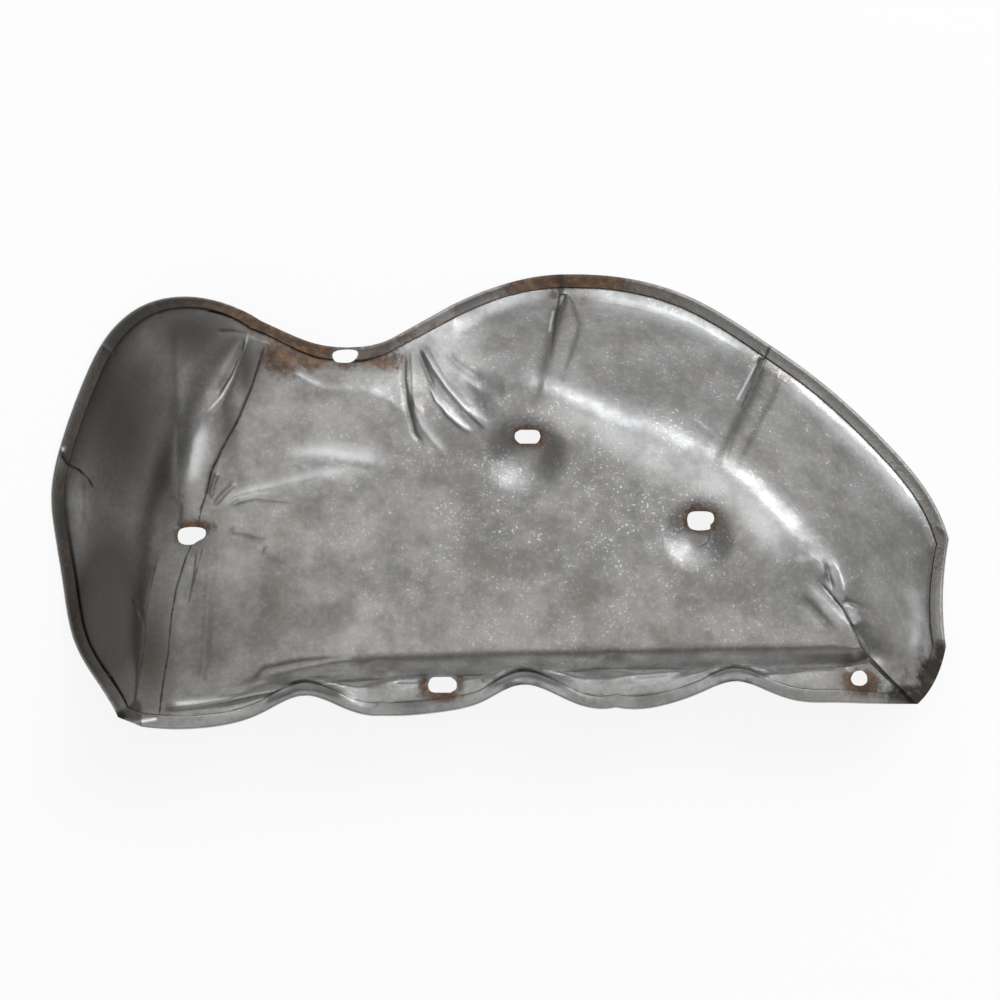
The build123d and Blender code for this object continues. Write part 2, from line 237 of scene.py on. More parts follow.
# Presses: ridges above 0 and creases below it, drawn from top to bottom. Left and right are the spread on either
# side, fade and tail the shares of the line over which its start and its end die out, and a high power makes a flat
# top with sharp sides.
PRESSES = (
    # folded strip above the end slot and the fold that carries it on
    Press(((262, 337), (264, 347), (251, 388), (237, 421), (222, 448), (212, 470), (206, 492), (200, 512), (196, 532)),
          1.0, 0.35, 7.4, 0.03, 8),
    Press(((208, 412), (197, 440), (193, 470), (185, 500), (178, 522)), 1.2, 5.5, 3.0, 0.3),
    Press(((219, 470), (214, 482), (211, 498)), 0.5, 0.8, 0.8),
    Press(((216, 331), (232, 331), (248, 333)), -0.8, 0.8, 0.8),
    Press(((246, 337), (242, 352), (231, 374), (216, 398)), -0.7, 0.5, 2.4),
    # folded strip below the end slot
    Press(((196, 532), (186, 556), (176, 587), (171, 616), (168, 651), (163, 680), (160, 703), (159, 716)),
          0.9, 0.35, 11.2, 0.02, 8),
    Press(((133, 596), (139, 606), (144, 619)), -0.6, 0.9, 0.9),
    Press(((208, 574), (207, 616), (204, 664), (198, 692)), -0.5, 2.4, 1.4),
    Press(((196, 545), (193, 575), (187, 606)), -0.4, 0.7, 1.6),
    # gathers
    Press(((404, 346), (404, 379), (408, 407), (414, 432), (426, 450)), -0.8, 1.0, 1.4),
    Press(((411, 386), (416, 412), (424, 428), (434, 440), (449, 454)), 0.9, 2.4, 1.3, 0.3),
    Press(((410, 346), (412, 371), (413, 395), (415, 410)), 0.35, 0.8, 0.6),
    Press(((418, 347), (424, 365), (431, 381), (437, 398), (446, 413)), -0.6, 0.9, 1.1),
    Press(((428, 380), (436, 399), (447, 413), (458, 423), (474, 434)), 0.9, 1.3, 0.9),
    Press(((420, 343), (433, 367), (447, 387), (464, 407), (491, 430)), 1.2, 2.2, 1.3, 0.12),
    Press(((428, 346), (442, 371), (453, 389)), -0.3, 0.8, 0.6),
    Press(((442, 345), (455, 362), (467, 371), (486, 381)), -0.5, 1.8, 1.6, 0.3),
    Press(((450, 358), (466, 378), (482, 391), (506, 397)), 0.5, 3.0, 2.0, 0.5),
    Press(((372, 396), (388, 400), (402, 412), (412, 424)), 0.4, 2.2, 1.4, 0.4),
    # first pleat of the lobe
    Press(((567, 290), (558, 311), (553, 336), (546, 360), (537, 386), (528, 416)), -1.6, 1.9, 2.8, 0.08, 2, 0.6),
    Press(((555, 306), (551, 320), (547, 334)), 0.6, 0.6, 1.1),
    Press(((568, 294), (574, 308), (579, 323), (574, 343), (567, 363), (560, 392)), -0.9, 0.9, 1.5, 0.1, 2, 0.5),
    # second pleat of the lobe
    Press(((765, 356), (752, 385), (742, 404), (733, 421), (720, 446), (704, 468)), -1.6, 1.6, 2.8, 0.08, 2, 0.6),
    Press(((759, 359), (748, 379), (736, 401)), 0.5, 0.5, 1.2),
    Press(((780, 368), (774, 395), (761, 416), (746, 446), (730, 478)), -0.8, 1.0, 1.5, 0.1, 2, 0.5),
    Press(((690, 417), (705, 429), (714, 437)), -0.4, 1.2, 1.2),
    # laps and kinks of the hem
    Press(((563, 266), (563, 294)), 0.9, 1.5, 1.5, 0.05),
    Press(((770, 337), (762, 358)), 0.8, 1.4, 1.4, 0.05),
    Press(((150, 303), (159, 317)), 0.4, 0.9, 0.9, 0.05),
    Press(((96, 340), (111, 352)), 0.4, 0.9, 0.9, 0.05),
    Press(((936, 524), (949, 533)), 0.25, 1.0, 1.0, 0.05),
    # furrow along the fillet of the lobe
    Press(((455, 336), (483, 319), (516, 305), (546, 300)), -0.35, 2.2, 2.2),
    Press(((590, 299), (640, 305), (690, 321), (740, 349), (756, 359)), -0.35, 2.2, 2.2),
    Press(((786, 377), (830, 413), (880, 458), (920, 505)), -0.4, 2.2, 2.2),
    # end panel
    Press(((176, 318), (178, 370), (179, 430), (177, 486)), -0.9, 2.6, 2.2),
    Press(((57, 449), (66, 463), (78, 469), (88, 479), (95, 491)), -1.2, 0.5, 3.2),
    Press(((84, 476), (86, 500), (84, 524)), -0.5, 2.2, 1.2),
    # wrinkles beside the end slot
    Press(((214, 505), (224, 493), (237, 481)), 0.55, 1.0, 1.0),
    Press(((226, 506), (240, 500), (256, 496), (300, 501)), 0.5, 1.1, 1.1),
    Press(((216, 499), (262, 486), (332, 470)), 0.8, 3.4, 1.8, 0.3),
    Press(((270, 452), (320, 450), (388, 463)), 1.1, 3.0, 3.4, 0.4),
    Press(((228, 528), (250, 532), (268, 538)), 0.45, 1.6, 1.6),
    Press(((262, 548), (274, 553), (286, 562)), 0.45, 1.8, 1.8),
    # bend and bead along the lower left edge
    Press(((250, 683), (266, 668), (300, 661), (345, 657)), -0.6, 1.4, 2.4),
    Press(((162, 706), (193, 703), (225, 699), (257, 692), (296, 684)), 1.3, 1.8, 1.3, 0.12),
    Press(((196, 697), (240, 691), (270, 683), (312, 677)), 0.5, 1.8, 1.2, 0.3),
    Press(((300, 682), (340, 681), (428, 675), (480, 675), (512, 671)), -0.4, 0.6, 1.6),
    Press(((548, 673), (600, 668), (660, 668), (712, 671)), -0.35, 0.6, 1.6),
    Press(((752, 675), (800, 671), (846, 669)), -0.3, 0.6, 1.6),
    # crumpled corner below the lobe
    Press(((792, 557), (808, 556), (818, 561), (822, 571), (819, 582)), 0.9, 1.8, 2.0, 0.35),
    Press(((823, 559), (827, 574), (832, 590)), -0.8, 0.9, 0.9, 0.35),
    Press(((829, 553), (838, 571), (843, 589), (849, 604)), 1.0, 2.8, 1.5, 0.35),
    Press(((838, 606), (846, 601), (855, 604), (868, 609)), -0.6, 1.4, 0.8, 0.35),
    Press(((798, 578), (822, 604), (846, 628), (862, 648)), 0.9, 2.2, 3.2, 0.35),
    Press(((818, 579), (828, 592), (840, 606), (850, 624), (862, 646)), -0.5, 0.5, 0.4, 0.12),
    Press(((786, 590), (810, 606), (836, 636)), -0.6, 3.0, 3.4, 0.4),
    Press(((912, 580), (918, 606), (917, 632), (906, 658)), 0.6, 2.4, 3.0, 0.3),
)

# Bend of the flange: its line in picture places, its reach on either side, and its fall along the line
BEND_LINE = (
    (150, 694), (192, 690), (250, 681), (306, 671), (330, 667), (380, 664), (500, 659), (615, 657), (740, 654),
    (800, 653), (846, 652), (872, 664),
)
BEND_REACH = 3.6
BEND_FALL = (
    (150, 0.0), (205, 1.0), (262, 4.0), (305, 7.5), (345, 9.0), (815, 9.0), (845, 7.0), (872, 0.0),
)

# Joints of two panels that are rounded off, with the reach on either side in millimetres. The reach shrinks by the
# shares, with a number of passes at each.
SOFTENED = (
    (((456, 318), (466, 362), (480, 420)), 13.0),
    (((392, 338), (390, 372), (388, 408)), 8.0),
    (((382, 640), (382, 712)), 6.0),
    (((615, 640), (615, 706)), 6.0),
    (((863, 628), (880, 631)), 3.6),
    (((880, 631), (905, 637), (925, 641)), 8.0),
)
SOFTEN_SHARES = (1.0, 0.9, 0.8, 0.7, 0.6, 0.5, 0.4, 0.3)
SOFTEN_TIMES = 10
SOFTEN_FACTOR = 0.5

# Slight waves of the sheet, as length and height in millimetres, and the number of ways that each length runs
WAVES = ((90, 0.35), (55, 0.22), (32, 0.12), (20, 0.06), (13, 0.03))
WAVE_WAYS = 4
WAVE_SEED = 11

# Finer mesh beside the presses and the marks with a small reach: reach and longest edge of each pass in millimetres
REFINED = ((1.6, 1.2), (1.6, 1.2), (0.8, 0.6), (0.8, 0.6))
FINE_MARK = 1.0

# Upward share of a normal past which a point is on the outside or, below 0, on the inside
FACING = 0.1

# Inside of the sheet: steps round a point at which the outside is felt for, the height from which that is done, in
# millimetres, and the least room below it in sheet thicknesses
FEELERS = ((0, 0), (1.4, 0), (-1.4, 0), (0, 1.4), (0, -1.4))
FEEL_FROM = 100.0
ROOM_BELOW = 0.9

# Bolt slots in picture places: corners of the worn ones, and centres of those with round ends and of the hole
END_SLOT = ((181, 526), (206, 526), (206.5, 536), (198, 540), (193, 544), (180.5, 543), (177.5, 535))
RIM_SLOT = ((332, 349.5), (357, 348.5), (358, 355), (353, 361), (345, 362.5), (333, 361))
LOWER_SEAT_SLOT = (
    (685.5, 519), (688, 511), (698, 510), (712, 511), (713.5, 520), (708.5, 524), (710, 529), (689, 529.5),
)
UPPER_SEAT_SLOT = (527, 435.8)
FLANGE_SLOT = (442, 683.5)
FLANGE_HOLE = (858, 677)

# Pixels by which the upper seat's slot is shorter and narrower, and by which the hole is out of round
UPPER_SEAT_SHORT = 3
UPPER_SEAT_NARROW = 2
HOLE_OVAL = 0.6

# Edges of the slots: points round one with round ends, its unevenness as share and count, and the share and number
# of cuts at a worn corner. The cutter's foot and its height are in millimetres.
SLOT_POINTS = 28
SLOT_UNEVEN = ((0.035, 3), (0.02, 7))
CORNER_CUT = 0.25
CORNER_CUTS = 2
CUTTER_FOOT = 20.0
CUTTER_HEIGHT = 40.0

# Stains of rust, as a picture place, its reach and its strength
RUST = (
    Stain(280, 356, 32, 21, 1.0), Stain(314, 358, 28, 15, 1.0), Stain(380, 360, 32, 13, 0.88),
    Stain(345, 363, 26, 9, 0.75), Stain(300, 344, 40, 9, 1.0),
    Stain(193, 526, 19, 8, 1.2), Stain(180, 534, 8, 11, 0.9), Stain(176, 502, 14, 16, 0.4),
    Stain(527, 436, 19, 12, 1.5), Stain(699, 519, 19, 14, 1.4), Stain(695, 506, 9, 6, 0.9),
    Stain(441, 694, 22, 7, 1.3), Stain(424, 684, 7, 11, 1.1), Stain(460, 682, 6, 10, 1.0),
    Stain(861, 681, 19, 13, 1.5), Stain(847, 676, 9, 8, 0.8),
    Stain(553, 294, 10, 6, 0.75), Stain(582, 300, 8, 8, 0.5), Stain(772, 372, 8, 13, 0.4),
    Stain(255, 328, 12, 10, 0.7), Stain(903, 687, 6, 6, 0.8),
)

# Soot of the heated end and the burnt corner. The soot on the end panel, which faces away from the lamps, is
# also painted shade, and the two stains just right of the round seats are painted shade in their hollows
SOOT_AND_SHADE = (
    Stain(105, 610, 58, 110, 1.35), Stain(120, 420, 65, 120, 1.0), Stain(163, 480, 26, 70, 0.95),
    Stain(150, 650, 32, 75, 1.0), Stain(205, 640, 40, 70, 0.5), Stain(190, 330, 60, 36, 0.9),
    Stain(246, 366, 13, 36, 0.95), Stain(229, 422, 12, 36, 0.8), Stain(260, 605, 50, 50, 0.32),
    Stain(75, 520, 14, 60, -0.25), Stain(508, 446, 22, 26, 0.3), Stain(548, 454, 20, 20, 0.35),
    Stain(192, 535, 25, 19, 0.6), Stain(708, 535, 22, 20, 0.25), Stain(860, 540, 70, 90, 0.12),
    Stain(680, 380, 60, 40, 0.1),
)
BURNT = (
    Stain(931, 674, 20, 26, 1.25), Stain(912, 695, 32, 14, 1.25), Stain(940, 653, 10, 15, 1.1),
    Stain(908, 676, 22, 22, 0.55),
    Stain(122, 714, 9, 7, 1.0), Stain(262, 328, 9, 9, 0.6), Stain(305, 696, 16, 7, 0.6),
    Stain(518, 685, 20, 7, 0.7), Stain(735, 682, 20, 7, 0.6), Stain(563, 281, 9, 14, 0.8),
)

# Dirt, with painted shade, in the folds and under the laps, as lines of picture places with their reach in millimetres
DIRT_AND_SHADE = (
    Mark(((265, 345), (251, 388), (237, 421), (222, 448), (212, 470), (207, 492), (200, 511)), 0.5, 0.85, 0.03),
    Mark(((216, 331), (232, 331), (248, 333)), 0.5, 0.6), Mark(((245, 338), (243, 350), (236, 365)), 0.45, 0.6),
    Mark(((59, 453), (66, 463), (78, 469), (88, 479), (94, 489)), 0.5, 0.95),
    Mark(((158, 555), (152, 584), (146, 616), (146, 638), (141, 671), (134, 703), (130, 713)), 0.4, 0.7),
    Mark(((133, 596), (139, 606), (145, 622)), 0.45, 0.5),
    Mark(((187, 554), (177, 587), (172, 616), (169, 651), (164, 680), (161, 703), (160, 718)), 0.45, 0.8, 0.04),
    Mark(((205, 536), (201, 555), (196, 574), (190, 595)), 0.3, 0.8, 0.3),
    Mark(((567, 291), (563, 301), (556, 312), (551, 327)), 0.5, 0.8),
    Mark(((559, 271), (559, 292)), 0.45, 0.7), Mark(((567, 271), (567, 293)), 0.45, 0.7),
    Mark(((568, 294), (574, 308)), 0.4, 0.6),
    Mark(((764, 357), (751, 386), (740, 407)), 0.5, 0.7), Mark(((770, 346), (764, 358)), 0.45, 0.7),
    Mark(((818, 580), (840, 606), (852, 626), (860, 646), (886, 674), (913, 701)), 0.4, 1.0, 0.04),
    Mark(((806, 582), (813, 583), (819, 578)), 0.4, 0.6), Mark(((824, 561), (830, 575), (832, 588)), 0.5, 0.4),
    Mark(((839, 605), (846, 602), (856, 606), (863, 607)), 0.4, 0.6),
    Mark(((709, 530), (707, 541), (696, 547)), 0.25, 0.9, 0.2), Mark(((480, 677), (484, 681)), 0.4, 0.6),
    Mark(((343, 349), (352, 347), (362, 346)), 0.35, 1.0, 0.2), Mark(((91, 432), (92, 433)), 0.4, 1.0),
    Mark(((495, 457), (496, 458)), 0.4, 1.0), Mark(((310, 682), (340, 681), (428, 675)), 0.4, 0.4),
)

# Soft painted shade in the channels of the pleats and gathers, beside the folded strips and along the bend
PAINTED_SHADE = (
    Mark(((562, 300), (552, 330), (546, 356), (539, 382), (530, 412)), 3.0, 0.72, 0.1, 0.6),
    Mark(((766, 362), (756, 386), (747, 404), (737, 422), (724, 446), (708, 470)), 2.8, 0.7, 0.1, 0.6),
    Mark(((570, 298), (579, 323), (574, 343), (567, 363), (560, 388)), 1.2, 0.5, 0.15, 0.5),
    Mark(((781, 374), (774, 395), (761, 416), (746, 446), (733, 474)), 1.2, 0.45, 0.15, 0.5),
    Mark(((403, 348), (404, 379), (408, 407), (414, 434), (424, 450)), 1.2, 0.45, 0.15, 0.4),
    Mark(((417, 349), (423, 365), (430, 381), (434, 396), (446, 414), (462, 428)), 1.1, 0.5, 0.1, 0.3),
    Mark(((424, 356), (434, 376), (444, 397), (458, 412), (474, 425)), 0.8, 0.35, 0.2),
    Mark(((442, 348), (455, 362), (468, 371)), 1.4, 0.25, 0.3),
    Mark(((330, 659), (512, 654), (579, 651), (800, 649), (846, 650), (872, 664)), 2.0, 0.35),
    Mark(((251, 680), (265, 667), (300, 659), (330, 658)), 1.6, 0.4, 0.2),
    Mark(((790, 594), (812, 606), (834, 634)), 3.6, 0.35, 0.3),
    Mark(((265, 347), (251, 388), (237, 421), (222, 448), (212, 470), (206, 496)), 1.5, 0.72, 0.05),
    Mark(((187, 556), (177, 587), (172, 616), (169, 651), (164, 680), (160, 712)), 1.3, 0.45, 0.05),
    Mark(((207, 556), (206, 616), (203, 664), (197, 694)), 1.8, 0.35, 0.2),
    Mark(((198, 560), (195, 620), (189, 690)), 4.5, 0.4, 0.2),
)

# Bare bright edges and painted highlights
BARE_AND_SHEEN = (
    Mark(((249, 332), (245, 347), (232, 378), (222, 396), (207, 412)), 0.38, 0.8, 0.15),
    Mark(((59, 446), (63, 449)), 0.9, 1.0), Mark(((133, 721), (146, 719), (158, 717)), 0.6, 1.0),
    # the bright fold edges of the two pleats are painted highlights
    Mark(((757, 361), (736, 400)), 0.45, 0.8), Mark(((553, 309), (549, 331)), 0.5, 0.7),
    # painted highlights on the ridges of the gathers
    Mark(((413, 404), (421, 422), (433, 439), (447, 452)), 1.5, 0.5, 0.3),
    Mark(((429, 384), (437, 400), (449, 414), (471, 432)), 0.95, 0.6, 0.2),
    Mark(((424, 352), (436, 371), (450, 391), (467, 409), (489, 428)), 1.7, 0.5, 0.3),
    Mark(((458, 368), (472, 384), (488, 394), (502, 397)), 2.6, 0.3, 0.3),
    # painted sheen of the dip and of the wrinkles beside the end slot
    Mark(((282, 452), (325, 450), (360, 455), (396, 464)), 3.2, 0.6, 0.35),
    Mark(((212, 503), (262, 487), (330, 471), (384, 468)), 2.6, 0.45, 0.3),
    Mark(((205, 424), (197, 452), (191, 484)), 3.4, 0.6, 0.35),
    # painted highlights on the shoulder and fillet of the lobe
    Mark(((543, 388), (600, 424), (653, 453), (690, 469), (728, 486), (760, 515), (792, 554)), 8.5, 0.6, 0.4, 0.15),
    Mark(((450, 327), (483, 310), (516, 299), (550, 293)), 3.0, 0.35, 0.2),
    Mark(((588, 297), (640, 306), (690, 322), (742, 352)), 3.2, 0.4, 0.15),
    Mark(((786, 380), (830, 417), (880, 463), (918, 508)), 3.4, 0.5, 0.15),
    Mark(((912, 584), (918, 608), (916, 634), (908, 654)), 3.0, 0.45, 0.3),
    # painted highlights on the lumps of the crumpled corner
    Mark(((792, 557), (810, 558), (820, 565), (821, 574)), 2.1, 0.35, 0.3),
    Mark(((829, 558), (838, 574), (843, 592)), 2.4, 0.3, 0.3),
    Mark(((806, 584), (826, 606), (848, 628)), 2.8, 0.35, 0.3),
    # painted highlights on the seats, the bead and the flange
    Mark(((500, 472), (512, 484)), 5.0, 0.1), Mark(((672, 540), (684, 552)), 4.5, 0.08),
    Mark(((172, 703), (207, 701), (246, 695), (296, 683)), 1.2, 0.45, 0.15),
    Mark(((310, 688), (430, 683), (560, 680), (700, 676), (838, 672)), 6.5, 0.22, 0.1),
)

# Rust of the hem along the top of the rim, by the picture place across
HEM_RUST = (
    (50, 0.25), (150, 0.35), (184, 0.45), (225, 0.6), (250, 1.0), (300, 0.9), (345, 0.75), (380, 0.45), (445, 0.35),
    (500, 0.35), (520, 0.9), (575, 1.0), (610, 0.85), (650, 0.45), (680, 0.25), (950, 0.2),
)

# The top of the rim: all of the hem above the first picture place, and what lies beyond the other two across
TOP_HEM_DOWN = 540
TOP_HEM_LEFT = 120
TOP_HEM_RIGHT = 920

# Bright specks of the crown
SPECKLED = (Stain(640, 480, 300, 190, 1.0),)

# Soot of the rim's top, of the whole hem and of the inside, and the painted highlight along the hem's nose
TOP_HEM_SOOT = 0.6
HEM_SOOT = 0.2
INSIDE_SOOT = 0.6
NOSE_SHEEN = 0.7

# Upward share of a normal under which a point is painted as the inside
INSIDE_FACING = -0.2

# Drawn marks: how many times their reach they are felt, and their strength at the very ends
MARK_SPAN = 3
MARK_START = 0.2

# Noises of the steel, as scale, detail and roughness
CLOUD = (28.0, 5.0)
TINT = (46.0, 4.0)
PATCH = (75.0, 6.0, 0.65)
FLAKE = (190.0, 5.0, 0.7)
SMUT = (240.0, 4.0)
GRAIN = (420.0, 3.0, 0.7)
FLECK = (900.0, 2.0)

# Tone of the steel: shares of the cloud and the patches in it, and how dark its darkest part is
CLOUD_SHARE = 0.45
PATCH_SHARE = 0.55
DARK_STEEL = 0.62

# How ragged the edge of the rust is
RUST_TORN = 0.65

# Clean sheet and sheet under rust, dirt and painted shade: share of metal and strength of the shine
METAL = (0.92, 0.0)
SHINE = (0.5, 0.12)

# Changes of roughness: of the darkest and the lightest tone, of rust and of dirt with painted shade, of soot with
# painted shade, and of bare steel with painted highlights
TONE_ROUGH = (0.06, 0.05)
DULL_ROUGH = 0.35
SOOT_AND_SHADE_ROUGH = 0.08
BARE_AND_SHEEN_SMOOTH = 0.08

# Pits of the surface: strength, depth in metres, and how much deeper those in rust are
PIT_STRENGTH = 0.35
PIT_DEPTH = 0.0004
RUST_PITS = 1.5

# Creases sharper than this, in degrees, are shaded as edges
SHARP_ANGLE = 50

# Floor: half its width in metres, its roughness, and the share of plain white in it
FLOOR_HALF = 10.0
FLOOR_ROUGHNESS = 0.9
FLOOR_WHITE = 0.88

# Square soft lamps with their places and sizes in metres, and the point that they face
LAMPS = (
    Lamp("key", (1.5, 1.5, 2.1), 1.7, (0.95, 0.975, 1.0)),
    Lamp("fill", (-0.3, -0.2, 3.0), 2.0, (1.0, 0.985, 0.965)),
    Lamp("low", (0.2, -2.4, 0.9), 1.2),
    Lamp("side", (1.9, 2.3, 0.9), 2.4),
    Lamp("back", (-0.3, 2.4, 1.4), 2.0, (0.96, 0.98, 1.0)),
)
LAMP_AIM = (0, 0, 0.03)

# Camera: its height, its farthest sight and the height at which its field is measured, in metres, and its sensor
CAMERA_RISE = 8.0
CAMERA_SIGHT = 20.0
FIELD_RISE = 0.02
SENSOR = 36.0


class HeatShieldSizes(bpy.types.PropertyGroup):
    """Sizes of the sheet."""

    sheet: bpy.props.FloatProperty(
        name="Sheet", description="Thickness of the steel sheet", default=0.001, unit="LENGTH")
    hem: bpy.props.FloatProperty(
        name="Hem", description="Width of the folded hem along the rim", default=0.0056, unit="LENGTH")
    crown: bpy.props.FloatProperty(
        name="Crown", description="Height of the crown over the lowest rim", default=0.046, unit="LENGTH")
    slot_length: bpy.props.FloatProperty(
        name="Slot Length", description="Length of the bolt slots", default=0.012, unit="LENGTH")
    slot_width: bpy.props.FloatProperty(
        name="Slot Width", description="Width of the bolt slots", default=0.0066, unit="LENGTH")
    hole: bpy.props.FloatProperty(
        name="Hole", description="Diameter of the round bolt hole", default=0.0066, unit="LENGTH")
    crumple: bpy.props.FloatProperty(
        name="Crumple", description="Strength of the creases and wrinkles", default=1.0, min=0.0, max=1.5,
        subtype="FACTOR")


class HeatShieldFinish(bpy.types.PropertyGroup):
    """Colours of the weathered steel."""

    steel: bpy.props.FloatVectorProperty(
        name="Steel", description="Dull grey of the bare sheet", default=(0.33, 0.325, 0.316), subtype="COLOR")
    # worn grey: also the colour of the painted highlights and sheen
    worn_and_sheen: bpy.props.FloatVectorProperty(
        name="Worn", description="Brighter grey of rubbed spots", default=(0.72, 0.73, 0.74), subtype="COLOR")
    # soot: also the colour of the painted shade of the channels, the bend, the end panel and the seats' hollows
    soot: bpy.props.FloatVectorProperty(
        name="Soot", description="Warm dark grey of the heated end", default=(0.055, 0.0485, 0.04), subtype="COLOR")
    rust: bpy.props.FloatVectorProperty(
        name="Rust", description="Brown of the old rust", default=(0.07, 0.041, 0.026), subtype="COLOR")
    fresh_rust: bpy.props.FloatVectorProperty(
        name="Fresh Rust", description="Orange of the newer rust", default=(0.165, 0.092, 0.05), subtype="COLOR")
    # grime: also the colour of the painted shade in the creases, under the laps and along the hem's edge
    grime_and_shade: bpy.props.FloatVectorProperty(
        name="Grime", description="Dark dirt in the folds", default=(0.03, 0.025, 0.021), subtype="COLOR")
    stain: bpy.props.FloatVectorProperty(
        name="Stain", description="Brownish tint of heat and oil", default=(0.185, 0.16, 0.132), subtype="COLOR")
    roughness: bpy.props.FloatProperty(
        name="Roughness", description="Roughness of the bare sheet", default=0.42, min=0.0, max=1.0,
        subtype="FACTOR")


class HeatShieldStage(bpy.types.PropertyGroup):
    """Floor, lamps and camera."""

    floor: bpy.props.FloatVectorProperty(
        name="Floor", description="Colour of the pale floor", default=(0.9, 0.9, 0.9), subtype="COLOR")
    key: bpy.props.FloatProperty(
        name="Key", description="Power of the large lamp at the upper right", default=50.0, unit="POWER")
    fill: bpy.props.FloatProperty(
        name="Fill", description="Power of the soft lamp overhead", default=17.0, unit="POWER")
    low: bpy.props.FloatProperty(
        name="Low", description="Power of the soft lamp on the flange side", default=4.0, unit="POWER")
    side: bpy.props.FloatProperty(
        name="Side", description="Power of the wide lamp low at the upper right", default=12.0, unit="POWER")
    back: bpy.props.FloatProperty(
        name="Back", description="Power of the wide lamp beyond the top edge", default=22.0, unit="POWER")
    sky: bpy.props.FloatProperty(
        name="Sky", description="Strength of the even light from all round", default=0.25, min=0.0, max=2.0)
    field: bpy.props.FloatProperty(
        name="Field", description="Width of the floor that the camera sees", default=0.42, unit="LENGTH")


def smooth(value):
    """Ease from 0 to 1 with level ends."""
    value = np.clip(value, 0.0, 1.0)
    return value * value * (3.0 - 2.0 * value)


def wall(share):
    """Fall from 0 at the crown to 1 at the rim: round shoulder, straight run and fillet to the hem."""
    run = 1.0 - FILLET
    total = SHOULDER / 2 + run - SHOULDER + FILLET * (1 + RIM_SLOPE) / 2
    if share < SHOULDER:
        part = share / SHOULDER
        return SHOULDER * (part ** 3 - part ** 4 / 2) / total
    if share < run:
        return (share - SHOULDER / 2) / total
    part = (share - run) / FILLET
    return (run - SHOULDER / 2 + FILLET * (part - (1 - RIM_SLOPE) * (part ** 3 - part ** 4 / 2))) / total


def width(station):
    """Width of the wall at a station, seen from above."""
    return math.hypot(station.rim_x - station.crown_x, station.rim_y - station.crown_y)


def height(station, share, crown):
    """Height of the outside of the sheet at a share of the way from the crown to the rim."""
    drop = float(smooth(share * width(station) / BEND_RUN))
    fall = wall(share) + (drop - wall(share)) * station.bend
    lap = station.lap * float(smooth(share / LAP_RUN))
    return crown - (crown - station.rim_z) * fall + lap


def place(station, share, layers, sizes):
    """Point at a share of the way to the rim, a number of sheet thicknesses over the outside."""
    crown = sizes.crown / MM
    low = max(0.0, share - SLOPE_STEP)
    high = min(1.0, share + SLOPE_STEP)
    slope = (height(station, high, crown) - height(station, low, crown)) / ((high - low) * width(station))
    if share == 0:
        slope = 0.0
    x = station.crown_x + share * (station.rim_x - station.crown_x)
    y = station.crown_y + share * (station.rim_y - station.crown_y)
    z = height(station, share, crown) + layers * sizes.sheet / MM * math.sqrt(1 + slope * slope)
    return (x, y, z)


def end_slope(knots, values):
    """Slope at the first knot of the curve through the first few values."""
    count = min(4, len(knots))
    offsets = np.array(knots[:count]) - knots[0]
    powers = np.vander(offsets, count, increasing=True)
    return np.linalg.solve(powers, np.array(values[:count]))[1]


def curve(knots, values, at):
    """Smooth cubic curve through the values at the knots, read at other places."""
    knots = np.array(knots)
    values = np.array(values)
    if len(knots) == 2:
        share = ((at - knots[0]) / (knots[1] - knots[0]))[:, None]
        return values[0] + share * (values[1] - values[0])
    steps = np.diff(knots)
    rises = np.diff(values, axis=0) / steps[:, None]
    matrix = np.eye(len(knots))
    right = np.zeros_like(values)
    right[0] = end_slope(knots, values)
    right[-1] = -end_slope(-knots[::-1], values[::-1])
    for i in range(1, len(knots) - 1):
        matrix[i, i - 1:i + 2] = steps[i], 2 * (steps[i - 1] + steps[i]), steps[i - 1]
        right[i] = 3 * (steps[i] * rises[i - 1] + steps[i - 1] * rises[i])
    slopes = np.linalg.solve(matrix, right)
    span = np.clip(np.searchsorted(knots, at, side="right") - 1, 0, len(steps) - 1)
    step = steps[span][:, None]
    t = ((at - knots[span])[:, None]) / step
    return (
        values[span] * (1 + 2 * t) * (1 - t) ** 2
        + slopes[span] * step * t * (1 - t) ** 2
        + values[span + 1] * t * t * (3 - 2 * t)
        + slopes[span + 1] * step * t * t * (t - 1)
    )


def spacing(stations):
    """Distances along the rim from a panel's first station."""
    along = [0.0]
    for a, b in zip(stations, stations[1:]):
        along.append(along[-1] + math.dist((a.rim_x, a.rim_y, a.rim_z), (b.rim_x, b.rim_y, b.rim_z)))
    return along


def ring(spot):
    """Closed row round the sheet, through the spot that is given for each station."""
    row = []
    for panel, following in zip(PANELS, PANELS[1:] + PANELS[:1]):
        knots = spacing(panel.stations)
        points = [spot(station) for station in panel.stations]
        for first, last, count in panel.parts:
            share = np.arange(count) / count
            share = share - panel.crowd * np.sin(2 * math.pi * share) / (2 * math.pi)
            row.append(curve(knots, points, knots[first] + share * (knots[last] - knots[first])))
        share = np.arange(panel.link)[:, None] / max(1, panel.link)
        row.append(np.array(points[-1]) * (1 - share) + np.array(spot(following.stations[0])) * share)
    return np.roll(np.concatenate(row), -FIRST_COLUMN, axis=0)


def hem_share(station, sizes):
    """Share of the way to the rim at which the hem starts."""
    return 1.0 - sizes.hem / MM / width(station)


def spine(edge):
    """Points along the middle of the crown where the columns of both sides meet."""
    (left, left_y), (right, right_y) = SPINE
    half = COLUMNS // 2
    even = left + (right - left) * np.arange(half + 1) / half
    both = (edge[:half + 1, 0] + np.roll(edge[::-1], 1, axis=0)[:half + 1, 0]) / 2
    across = EVENLY * even + (1 - EVENLY) * np.maximum.accumulate(np.clip(both, left, right))
    across = np.concatenate((across, across[half - 1:0:-1]))
    down = left_y + (right_y - left_y) * (across - left) / (right - left)
    return np.stack((across, down, edge[:, 2]), axis=1)


